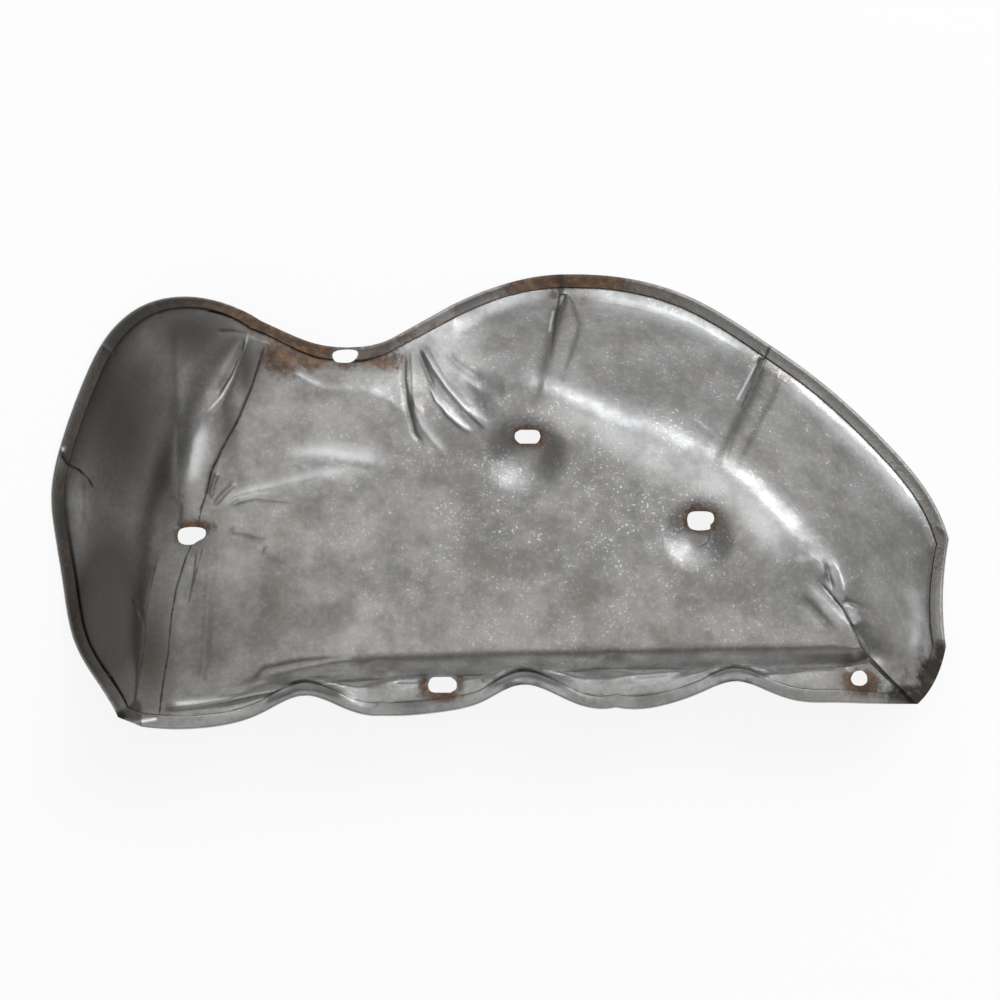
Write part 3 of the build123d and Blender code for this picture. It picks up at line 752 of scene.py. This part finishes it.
def sheet_rows(sizes):
    """Rows from the middle of the crown over the wall and the hem and back on the inside.

    Each row has its points, its share of the hem, of painted shade along the hem's edge and of painted highlight on
    its nose.
    """
    crown = sizes.crown / MM
    sheet = sizes.sheet / MM
    edge = ring(lambda s: place(s, 0.0, 0, sizes))
    middle = spine(edge)

    def crown_row(share, layers):
        row = edge + (middle - edge) * share
        row[:, 2] = crown + layers * sheet
        return row

    def wall_row(share, layers, past=0.0):
        return ring(lambda s: place(s, share * hem_share(s, sizes) + past / width(s), layers, sizes))

    def nose_row(angle):
        turn = math.radians(angle)
        inset = sheet * (1 - math.cos(turn))
        return ring(lambda s: place(s, 1 - inset / width(s), math.sin(turn), sizes))

    rows = [(crown_row(1 - i / CROWN_ROWS, 0), 0.0, 0.0, 0.0) for i in range(CROWN_ROWS)]
    rows += [(wall_row(i / WALL_ROWS, 0), 0.0, 0.0, 0.0) for i in range(WALL_ROWS)]
    rows += [(wall_row(1.0, 0, past), 0.0, seam, 0.0) for past, seam in HEM_FOOT]
    rows += [(wall_row(1.0, layers, HEM_GAP_PAST), 0.5, 1.0, 0.0) for layers in HEM_GAP]
    rows += [(wall_row(1.0, layers, past), 1.0, seam, 0.0) for layers, past, seam in HEM_TOP]
    rows += [(nose_row(angle), 1.0, 0.0, 1.0 - abs(angle) / NOSE_SHEEN_ANGLE) for angle in HEM_NOSE]
    rows += [(wall_row(1 - i / INNER_WALL_ROWS, -1), 0.0, 0.0, 0.0) for i in range(INNER_WALL_ROWS)]
    rows += [(crown_row(i / INNER_CROWN_ROWS, -1), 0.0, 0.0, 0.0) for i in range(INNER_CROWN_ROWS + 1)]
    return rows


def on_sheet(points):
    """Picture places as millimetres on the sheet."""
    points = np.array(points, float)
    return np.stack(((points[:, 0] - PICTURE_X) * PIXEL, (PICTURE_Y - points[:, 1]) * PIXEL), axis=1)


def beside(points, spots):
    """Distance of each spot from a line of points, its side (left is 1), and its share of the way along."""
    lengths = np.hypot(*np.diff(points, axis=0).T)
    starts = np.concatenate(((0.0,), np.cumsum(lengths)))
    best = np.full(len(spots), np.inf)
    side = np.zeros(len(spots))
    along = np.zeros(len(spots))
    for i, (a, b) in enumerate(zip(points, points[1:])):
        run = b - a
        offset = spots - a
        share = np.clip(offset @ run / (run @ run), 0.0, 1.0)
        gap = np.hypot(*(offset - share[:, None] * run).T)
        near = gap < best
        best[near] = gap[near]
        side[near] = np.sign(run[0] * offset[near, 1] - run[1] * offset[near, 0])
        along[near] = (starts[i] + share[near] * lengths[i]) / starts[-1]
    return best, side, along


def pressed(spots, press):
    """Share of a press at each spot: 1 on its line, less beside it and towards its ends."""
    gap, side, along = beside(on_sheet(press.points), spots)
    spread = np.where(side > 0, press.left, press.right)
    ends = smooth(along / press.fade) * smooth((1 - along) / (press.tail or press.fade))
    return np.exp(-((gap / spread) ** press.power)) * ends


def relief(spots, crumple):
    """Height that the bend, the seats, the presses and the waves add to the sheet at each spot."""
    lift = flange_bend(spots)
    for x, y, rim, flat, depth in SEATS:
        reach = np.hypot(spots[:, 0] - x, spots[:, 1] - y)
        lift -= depth * smooth((rim - reach) / (rim - flat))
    for press in PRESSES:
        lift += crumple * press.height * pressed(spots, press)
    return lift + crumple * waves(spots)


def held(z):
    """Height of a creased spot, eased under the top of the sheet and held over the floor."""
    room = TOP_Z - EASED_Z
    if z > EASED_Z:
        return TOP_Z - room * math.exp((EASED_Z - z) / room)
    return max(z, FLOOR_Z)


def flange_bend(spots):
    """Ease the bend of the flange, which starts at the crown's edge, over both sides of that edge."""
    gap, side, along = beside(on_sheet(BEND_LINE), spots)
    across = spots[:, 0] / PIXEL + PICTURE_X
    past = -gap * side
    fall = np.interp(across, *zip(*BEND_FALL)) * ((along > 0) & (along < 1))
    return fall * (smooth(past / BEND_RUN) - smooth((past + BEND_REACH) / (BEND_RUN + BEND_REACH)))


def waves(spots):
    """Slight unevenness of sheet that was bent by hand."""
    draw = np.random.default_rng(WAVE_SEED)
    lift = np.zeros(len(spots))
    for length, depth in WAVES:
        for turn in draw.uniform(0, math.pi, WAVE_WAYS):
            lift += depth / 2 * np.sin(
                2 * math.pi * (spots[:, 0] * math.cos(turn) + spots[:, 1] * math.sin(turn)) / length
                + draw.uniform(0, 2 * math.pi)
            )
    return lift


def new_piece(name, bm):
    """Mesh object from a bmesh, at the origin of the scene."""
    mesh = bpy.data.meshes.new(name)
    bm.to_mesh(mesh)
    bm.free()
    piece = bpy.data.objects.new(name, mesh)
    bpy.context.scene.collection.objects.link(piece)
    return piece


def near_line(spots, points, room):
    """Which spots lie within the room on either side of a line of picture places."""
    line = on_sheet(points)
    room = np.broadcast_to(room, len(spots))
    inside = (spots > line.min(0) - room[:, None]) & (spots < line.max(0) + room[:, None])
    picked = np.flatnonzero(np.all(inside, axis=1))
    found = np.zeros(len(spots), bool)
    if len(picked):
        found[picked] = beside(line, spots[picked])[0] < room[picked]
    return found


def refine(bm, reach, longest):
    """Halve the long edges of the outside that lie within reach of a press or a mark."""
    bm.verts.index_update()
    bm.normal_update()
    points = np.array([v.co for v in bm.verts])
    outside = np.array([v.normal.z for v in bm.verts]) > FACING
    edges = list(bm.edges)
    ends = np.array([(e.verts[0].index, e.verts[1].index) for e in edges])
    lengths = np.linalg.norm(points[ends[:, 0]] - points[ends[:, 1]], axis=1)
    middles = points[ends].mean(axis=1)[:, :2]
    near = np.zeros(len(edges), bool)
    fine = [line for line in DIRT_AND_SHADE + BARE_AND_SHEEN if line.reach < FINE_MARK]
    for line in list(PRESSES) + fine:
        near |= near_line(middles, line.points, reach + lengths / 2)
    picked = near & (lengths > longest) & outside[ends].all(axis=1)
    bmesh.ops.subdivide_edges(bm, edges=[edges[i] for i in np.flatnonzero(picked)], cuts=1, use_grid_fill=True)


def soften(bm, layers):
    """Round off the outside of the sheet where two panels meet at an angle."""
    bm.normal_update()
    spots = np.array([v.co[:2] for v in bm.verts])
    outside = np.array([v.normal.z > FACING and v[layers[0]] == 0 and v[layers[1]] == 0 for v in bm.verts])
    verts = list(bm.verts)
    for share in SOFTEN_SHARES:
        near = np.zeros(len(spots), bool)
        for line, reach in SOFTENED:
            near |= near_line(spots, line, share * reach)
        picked = [verts[i] for i in np.flatnonzero(near & outside)]
        for _ in range(SOFTEN_TIMES):
            bmesh.ops.smooth_vert(
                bm, verts=picked, factor=SOFTEN_FACTOR, use_axis_x=True, use_axis_y=True, use_axis_z=True)


def tuck_inside(bm, under, sheet):
    """Keep the inside of the sheet clear below the outside."""
    skin = BVHTree.FromBMesh(bm)
    down = Vector((0, 0, -1))
    for vert in under:
        for step_x, step_y in FEELERS:
            start = Vector((vert.co.x + step_x, vert.co.y + step_y, FEEL_FROM))
            hit = skin.ray_cast(start, down)[0]
            if hit is not None:
                vert.co.z = max(FLOOR_Z, min(vert.co.z, hit.z - ROOM_BELOW * sheet))


def stained(across, down, stains):
    """Strength of a list of stains at picture places."""
    amount = np.zeros(len(across))
    for stain in stains:
        reach = ((across - stain.x) / stain.reach_x) ** 2 + ((down - stain.y) / stain.reach_y) ** 2
        if stain.amount < 0:
            amount += stain.amount * np.exp(-reach)
        else:
            amount = np.maximum(amount, stain.amount * np.exp(-reach))
    return np.clip(amount, 0.0, 1.0)


def marked(spots, marks):
    """Strength of a list of drawn lines at each spot."""
    amount = np.zeros(len(spots))
    for mark in marks:
        picked = np.flatnonzero(near_line(spots, mark.points, MARK_SPAN * mark.reach))
        if len(picked):
            gap, _, along = beside(on_sheet(mark.points), spots[picked])
            start = smooth(along / mark.fade + MARK_START)
            end = smooth((1 - along) / (mark.tail or mark.fade) + MARK_START)
            strength = mark.amount * np.exp(-((gap / mark.reach) ** 2)) * (start * end)
            amount[picked] = np.maximum(amount[picked], strength)
    return amount


def paint(mesh):
    """Note on each vertex how much rust and speckle it carries, and how much soot, dirt and bare steel, which also
    hold painted shade and painted highlights.
    """
    count = len(mesh.vertices)
    spots = np.zeros(count * 3)
    mesh.vertices.foreach_get("co", spots)
    spots = spots.reshape(-1, 3)[:, :2]
    normals = np.zeros(count * 3, np.float32)
    mesh.vertex_normals.foreach_get("vector", normals)
    up = normals.reshape(-1, 3)[:, 2] > INSIDE_FACING
    row_marks = {}
    for name in ("hem", "seam", "fold"):
        row_marks[name] = np.zeros(count, np.float32)
        mesh.attributes[name].data.foreach_get("value", row_marks[name])
    across = spots[:, 0] / PIXEL + PICTURE_X
    down = PICTURE_Y - spots[:, 1] / PIXEL
    top = (down < TOP_HEM_DOWN) | (across < TOP_HEM_LEFT) | (across > TOP_HEM_RIGHT)
    top_hem = row_marks["hem"] * top
    hem_soot = TOP_HEM_SOOT * top_hem + HEM_SOOT * row_marks["hem"]
    hem_rust = np.interp(across, *zip(*HEM_RUST)) * top_hem
    # the soot carries the painted shade of the channels, the folded strips and the bend as well
    soot = np.maximum(stained(across, down, SOOT_AND_SHADE), marked(spots, PAINTED_SHADE))
    burnt = stained(across, down, BURNT)
    masks = {
        "rust": np.maximum(stained(across, down, RUST), hem_rust) * up,
        "soot": np.where(up, np.maximum(soot, hem_soot), INSIDE_SOOT),
        # dirt, with the painted shade in the creases and the dark line of painted shade along the hem's edge
        "dirt": np.maximum(np.maximum(marked(spots, DIRT_AND_SHADE), row_marks["seam"]), burnt) * up,
        # bare steel, with the painted highlights and sheen of the marks and the painted highlight of the hem's nose
        "bare": np.maximum(marked(spots, BARE_AND_SHEEN), NOSE_SHEEN * row_marks["fold"]) * up,
        "speckle": stained(across, down, SPECKLED) * up,
    }
    for name, values in masks.items():
        layer = mesh.attributes.new(name, "FLOAT", "POINT")
        layer.data.foreach_set("value", values.astype(np.float32))


def slot_cutter(name, outline):
    """Upright cutter with a slightly uneven outline, given as picture places."""
    bm = bmesh.new()
    bmesh.ops.create_circle(bm, segments=len(outline), radius=1.0)
    bm.verts.ensure_lookup_table()
    for vert, (x, y) in zip(bm.verts, on_sheet(outline)):
        vert.co = (x, y, CUTTER_FOOT)
    bottom = bmesh.ops.contextual_create(bm, geom=bm.verts[:])["faces"]
    top = bmesh.ops.extrude_face_region(bm, geom=bottom)["geom"]
    raised = [v for v in top if isinstance(v, bmesh.types.BMVert)]
    bmesh.ops.translate(bm, verts=raised, vec=(0, 0, CUTTER_HEIGHT))
    bmesh.ops.recalc_face_normals(bm, faces=bm.faces)
    return new_piece(name, bm)


def rounded_slot(x, y, length, depth):
    """Picture places round a slot with round ends."""
    reach = (length - depth) / 2
    (wide, few), (slight, many) = SLOT_UNEVEN
    places = []
    for i in range(SLOT_POINTS):
        turn = 2 * math.pi * (i + 0.5) / SLOT_POINTS
        wobble = 1 + wide * math.sin(few * turn + x) + slight * math.sin(many * turn + y)
        places.append((
            x + math.copysign(reach, math.cos(turn)) + depth / 2 * wobble * math.cos(turn),
            y - depth / 2 * wobble * math.sin(turn),
        ))
    return places


def worn_slot(corners):
    """Picture places round a slot with corners rounded by wear, each cut off more than once."""
    places = np.array(corners, float)
    near, far = 1 - CORNER_CUT, CORNER_CUT
    for _ in range(CORNER_CUTS):
        following = np.roll(places, -1, axis=0)
        pairs = np.stack((near * places + far * following, far * places + near * following), axis=1)
        places = pairs.reshape(-1, 2)
    return places


def fitted(sizes):
    """Outlines of the bolt slots and the hole, in picture places."""
    length = sizes.slot_length / MM / PIXEL
    depth = sizes.slot_width / MM / PIXEL
    hole = sizes.hole / MM / PIXEL
    return (
        worn_slot(END_SLOT),
        worn_slot(RIM_SLOT),
        rounded_slot(*UPPER_SEAT_SLOT, length - UPPER_SEAT_SHORT, depth - UPPER_SEAT_NARROW),
        worn_slot(LOWER_SEAT_SLOT),
        rounded_slot(*FLANGE_SLOT, length, depth),
        rounded_slot(*FLANGE_HOLE, hole + HOLE_OVAL, hole - HOLE_OVAL),
    )


class OBJECT_OT_heat_shield_sheet(bpy.types.Operator):
    """Press, fold and hem the sheet, and cut its bolt slots"""

    bl_idname = "object.heat_shield_sheet"
    bl_label = "Heat Shield Sheet"

    def execute(self, context):
        sizes = context.scene.heat_shield_sizes
        rows = sheet_rows(sizes)
        points = np.array([row[0] for row in rows])
        bm = bmesh.new()
        bmesh.ops.create_grid(bm, x_segments=COLUMNS, y_segments=len(rows) - 1, size=1.0)
        layers = [bm.verts.layers.float.new(name) for name in ("hem", "seam", "fold")]
        for vert in bm.verts:
            column = round((vert.co.x + 1) / 2 * COLUMNS) % COLUMNS
            row = round((vert.co.y + 1) / 2 * (len(rows) - 1))
            vert.co = points[row, column]
            for layer, value in zip(layers, rows[row][1:]):
                vert[layer] = value
        bmesh.ops.remove_doubles(bm, verts=bm.verts, dist=WELD)
        bmesh.ops.recalc_face_normals(bm, faces=bm.faces)
        soften(bm, layers)
        for reach, longest in REFINED:
            refine(bm, reach, longest)
        spots = np.array([v.co[:2] for v in bm.verts])
        lift = relief(spots, sizes.crumple)
        bm.normal_update()
        under = [v for v in bm.verts if v.normal.z < -FACING]
        for vert, rise in zip(bm.verts, lift):
            vert.co.z = held(vert.co.z + rise)
        tuck_inside(bm, under, sizes.sheet / MM)
        bmesh.ops.triangulate(bm, faces=[f for f in bm.faces if len(f.verts) > 4])
        piece = new_piece("heat_shield_sheet", bm)
        cutters = [slot_cutter(f"slot_cutter_{i}", outline) for i, outline in enumerate(fitted(sizes))]
        for cutter in cutters:
            cut = piece.modifiers.new(cutter.name, "BOOLEAN")
            cut.operation = "DIFFERENCE"
            cut.solver = "MANIFOLD"
            cut.object = cutter
        context.view_layer.update()
        whole = piece.evaluated_get(context.evaluated_depsgraph_get())
        mesh = bpy.data.meshes.new_from_object(whole)
        piece.modifiers.clear()
        for cutter in cutters:
            bpy.data.objects.remove(cutter)
        piece.data = mesh
        paint(mesh)
        place_mesh(mesh)
        mesh.materials.clear()
        mesh.materials.append(weathered_steel(context.scene.heat_shield_finish))
        mesh.polygons.foreach_set("material_index", np.zeros(len(mesh.polygons), np.int32))
        mesh.shade_smooth()
        mesh.set_sharp_from_angle(angle=math.radians(SHARP_ANGLE))
        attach(piece, "root")
        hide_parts("heat_shield")
        return {"FINISHED"}


def place_mesh(mesh):
    """Bring a mesh from the sheet's own millimetres into the frame."""
    spots = np.zeros(len(mesh.vertices) * 3)
    mesh.vertices.foreach_get("co", spots)
    spots = (spots.reshape(-1, 3) + ORIGIN) * MM
    mesh.vertices.foreach_set("co", spots.ravel())
    mesh.update()


class Nodes:
    """Short ways to add linked nodes to a material."""

    def __init__(self, material):
        self.tree = material.node_tree
        self.place = None

    def add(self, kind, **settings):
        """New node with the settings."""
        node = self.tree.nodes.new(kind)
        for name, value in settings.items():
            setattr(node, name, value)
        return node

    def feed(self, socket, value):
        """Link a socket to the value, or set it."""
        if isinstance(value, bpy.types.NodeSocket):
            self.tree.links.new(value, socket)
        else:
            socket.default_value = value

    def mask(self, name):
        """What is painted on the sheet under a name."""
        return self.add("ShaderNodeAttribute", attribute_name=name).outputs["Fac"]

    def noise(self, scale, detail, roughness=0.55):
        """Noise that is fixed to the piece."""
        if self.place is None:
            self.place = self.add("ShaderNodeTexCoord").outputs["Object"]
        node = self.add("ShaderNodeTexNoise")
        self.feed(node.inputs["Vector"], self.place)
        node.inputs["Scale"].default_value = scale
        node.inputs["Detail"].default_value = detail
        node.inputs["Roughness"].default_value = roughness
        return node.outputs["Fac"]

    def calc(self, operation, first, second):
        """Sum, product or the like of two values."""
        node = self.add("ShaderNodeMath", operation=operation)
        self.feed(node.inputs[0], first)
        self.feed(node.inputs[1], second)
        return node.outputs[0]

    def ease(self, value, low, high, start=0.0, end=1.0):
        """Smooth step from start, where the value is low, to end, where it is high."""
        node = self.add("ShaderNodeMapRange", interpolation_type="SMOOTHSTEP")
        self.feed(node.inputs["Value"], value)
        node.inputs["From Min"].default_value = low
        node.inputs["From Max"].default_value = high
        node.inputs["To Min"].default_value = start
        node.inputs["To Max"].default_value = end
        return node.outputs["Result"]

    def blend(self, share, first, second):
        """Mix of two colours by the share of the second."""
        node = self.add("ShaderNodeMix", data_type="RGBA")
        self.feed(node.inputs["Factor"], share)
        for socket, value in ((node.inputs[6], first), (node.inputs[7], second)):
            self.feed(socket, value if isinstance(value, bpy.types.NodeSocket) else (*value, 1))
        return node.outputs[2]


def weathered_steel(finish):
    """Dull, speckled and rusty sheet steel, with painted shade in its folds and painted highlights on its ridges,
    shoulder and edges.
    """
    material = bpy.data.materials.new("weathered_steel")
    material.use_nodes = True
    nodes = Nodes(material)
    shader = material.node_tree.nodes["Principled BSDF"]
    cloud = nodes.noise(*CLOUD)
    grain = nodes.noise(*GRAIN)
    patch = nodes.noise(*PATCH)
    fleck = nodes.noise(*FLECK)

    tone = nodes.calc("ADD", nodes.calc("MULTIPLY", cloud, CLOUD_SHARE), nodes.calc("MULTIPLY", patch, PATCH_SHARE))
    dark = tuple(c * DARK_STEEL for c in finish.steel)
    colour = nodes.blend(nodes.ease(tone, 0.36, 0.64), dark, finish.steel)
    colour = nodes.blend(nodes.ease(nodes.noise(*TINT), 0.48, 0.75, 0.0, 0.55), colour, finish.stain)
    colour = nodes.blend(nodes.ease(grain, 0.45, 0.75, 0.0, 0.12), colour, finish.worn_and_sheen)
    speckle = nodes.calc("MULTIPLY", nodes.ease(fleck, 0.6, 0.68), nodes.mask("speckle"))
    speckle = nodes.calc("MULTIPLY", speckle, nodes.ease(patch, 0.42, 0.62))
    colour = nodes.blend(speckle, colour, finish.worn_and_sheen)
    # soot, with painted shade of the end panel, the channels and the bend
    soot = nodes.calc("MULTIPLY", nodes.mask("soot"), nodes.ease(tone, 0.2, 0.7, 0.75, 1.0))
    colour = nodes.blend(soot, colour, finish.soot)
    # bare steel and painted highlights, lightened towards the worn grey
    bare = nodes.calc("MULTIPLY", nodes.mask("bare"), nodes.ease(patch, 0.25, 0.6, 0.6, 1.0))
    colour = nodes.blend(bare, colour, finish.worn_and_sheen)
    torn = nodes.calc("ADD", nodes.ease(patch, 0.3, 0.7, -0.3, 0.3), nodes.ease(grain, 0.25, 0.75, -0.3, 0.3))
    torn = nodes.calc("MULTIPLY", torn, RUST_TORN)
    rust = nodes.ease(nodes.calc("ADD", nodes.mask("rust"), torn), 0.2, 0.9, 0.0, 0.9)
    rust_colour = nodes.blend(nodes.ease(nodes.noise(*FLAKE), 0.42, 0.66), finish.rust, finish.fresh_rust)
    colour = nodes.blend(rust, colour, rust_colour)
    # dirt, with painted shade in the creases and along the hem's edge, made uneven by noise
    uneven = nodes.ease(nodes.noise(*SMUT), 0.3, 0.7, -0.3, 0.15)
    dirt = nodes.ease(nodes.calc("ADD", nodes.mask("dirt"), uneven), 0.05, 1.0)
    colour = nodes.blend(dirt, colour, finish.grime_and_shade)
    nodes.feed(shader.inputs["Base Color"], colour)

    dull = nodes.calc("MAXIMUM", rust, dirt)
    nodes.feed(shader.inputs["Metallic"], nodes.ease(dull, 0.0, 1.0, *METAL))
    nodes.feed(shader.inputs["Specular IOR Level"], nodes.ease(dull, 0.0, 1.0, *SHINE))
    rough = nodes.ease(tone, 0.3, 0.7, finish.roughness + TONE_ROUGH[0], finish.roughness - TONE_ROUGH[1])
    rough = nodes.calc("ADD", rough, nodes.ease(dull, 0.0, 1.0, 0.0, DULL_ROUGH))
    rough = nodes.calc("ADD", rough, nodes.calc("MULTIPLY", soot, SOOT_AND_SHADE_ROUGH))
    rough = nodes.calc("SUBTRACT", rough, nodes.calc("MULTIPLY", bare, BARE_AND_SHEEN_SMOOTH))
    nodes.feed(shader.inputs["Roughness"], rough)

    bump = nodes.add("ShaderNodeBump")
    bump.inputs["Strength"].default_value = PIT_STRENGTH
    bump.inputs["Distance"].default_value = PIT_DEPTH
    rust_pits = nodes.calc("MULTIPLY", nodes.calc("MULTIPLY", rust, fleck), RUST_PITS)
    nodes.feed(bump.inputs["Height"], nodes.calc("ADD", grain, rust_pits))
    nodes.feed(shader.inputs["Normal"], bump.outputs["Normal"])
    return material


def pale_floor(colour):
    """Floor that shows as white but keeps the shadow of what lies on it."""
    material = bpy.data.materials.new("pale_floor")
    material.use_nodes = True
    nodes = Nodes(material)
    shader = nodes.tree.nodes["Principled BSDF"]
    shader.inputs["Base Color"].default_value = (*colour, 1)
    shader.inputs["Roughness"].default_value = FLOOR_ROUGHNESS
    glow = nodes.add("ShaderNodeEmission")
    path = nodes.add("ShaderNodeLightPath").outputs
    seen = nodes.calc("MAXIMUM", path["Is Camera Ray"], path["Is Transmission Ray"])
    seen = nodes.calc("MAXIMUM", seen, path["Is Glossy Ray"])
    mix = nodes.add("ShaderNodeMixShader")
    nodes.feed(mix.inputs[0], nodes.calc("MULTIPLY", seen, FLOOR_WHITE))
    nodes.feed(mix.inputs[1], shader.outputs[0])
    nodes.feed(mix.inputs[2], glow.outputs[0])
    nodes.feed(nodes.tree.nodes["Material Output"].inputs["Surface"], mix.outputs[0])
    return material


def area_lamp(lamp, power):
    """Hang a lamp of the list so that it faces the middle of the shield."""
    light = bpy.data.lights.new(f"{lamp.name}_lamp", "AREA")
    light.energy = power
    light.color = lamp.colour
    light.size = lamp.size
    item = bpy.data.objects.new(light.name, light)
    item.location = lamp.place
    item.rotation_euler = (Vector(LAMP_AIM) - Vector(lamp.place)).to_track_quat("-Z", "Y").to_euler()
    bpy.context.scene.collection.objects.link(item)


class OBJECT_OT_heat_shield_stage(bpy.types.Operator):
    """Lay the floor, hang the lamps and set the camera straight above"""

    bl_idname = "object.heat_shield_stage"
    bl_label = "Heat Shield Stage"

    def execute(self, context):
        stage = context.scene.heat_shield_stage
        bm = bmesh.new()
        bmesh.ops.create_grid(bm, x_segments=1, y_segments=1, size=FLOOR_HALF)
        floor = new_piece("floor", bm)
        floor.data.materials.append(pale_floor(stage.floor))
        for lamp in LAMPS:
            area_lamp(lamp, getattr(stage, lamp.name))
        world = bpy.data.worlds.new("even_light")
        world.use_nodes = True
        background = world.node_tree.nodes["Background"]
        background.inputs["Color"].default_value = (1, 1, 1, 1)
        background.inputs["Strength"].default_value = stage.sky
        context.scene.world = world
        camera = bpy.data.cameras.new("camera")
        camera.sensor_width = SENSOR
        camera.lens = SENSOR * (CAMERA_RISE - FIELD_RISE) / stage.field
        camera.clip_end = CAMERA_SIGHT
        item = bpy.data.objects.new("camera", camera)
        item.location = (float(ORIGIN[0]) * MM, float(ORIGIN[1]) * MM, CAMERA_RISE)
        context.scene.collection.objects.link(item)
        context.scene.camera = item
        context.scene.view_settings.view_transform = "Standard"
        return {"FINISHED"}


class VIEW3D_PT_heat_shield(bpy.types.Panel):
    """Sizes, colours and steps of the heat shield"""

    bl_idname = "VIEW3D_PT_heat_shield"
    bl_label = "Heat Shield"
    bl_space_type = "VIEW_3D"
    bl_region_type = "UI"
    bl_category = "Heat Shield"

    def draw(self, context):
        scene = context.scene
        for group in (scene.heat_shield_sizes, scene.heat_shield_finish, scene.heat_shield_stage):
            column = self.layout.column(align=True)
            for name in group.__annotations__:
                column.prop(group, name)
        self.layout.operator(OBJECT_OT_heat_shield_sheet.bl_idname)
        self.layout.operator(OBJECT_OT_heat_shield_stage.bl_idname)


CLASSES = (
    HeatShieldSizes,
    HeatShieldFinish,
    HeatShieldStage,
    OBJECT_OT_heat_shield_sheet,
    OBJECT_OT_heat_shield_stage,
    VIEW3D_PT_heat_shield,
)


def register():
    for item in CLASSES:
        bpy.utils.register_class(item)
    bpy.types.Scene.heat_shield_sizes = bpy.props.PointerProperty(type=HeatShieldSizes)
    bpy.types.Scene.heat_shield_finish = bpy.props.PointerProperty(type=HeatShieldFinish)
    bpy.types.Scene.heat_shield_stage = bpy.props.PointerProperty(type=HeatShieldStage)


def unregister():
    del bpy.types.Scene.heat_shield_stage
    del bpy.types.Scene.heat_shield_finish
    del bpy.types.Scene.heat_shield_sizes
    for item in reversed(CLASSES):
        bpy.utils.unregister_class(item)


def main():
    """Build the shield and its stage."""
    register()
    bpy.ops.object.heat_shield_sheet()
    bpy.ops.object.heat_shield_stage()


if __name__ == "__main__":
    main()
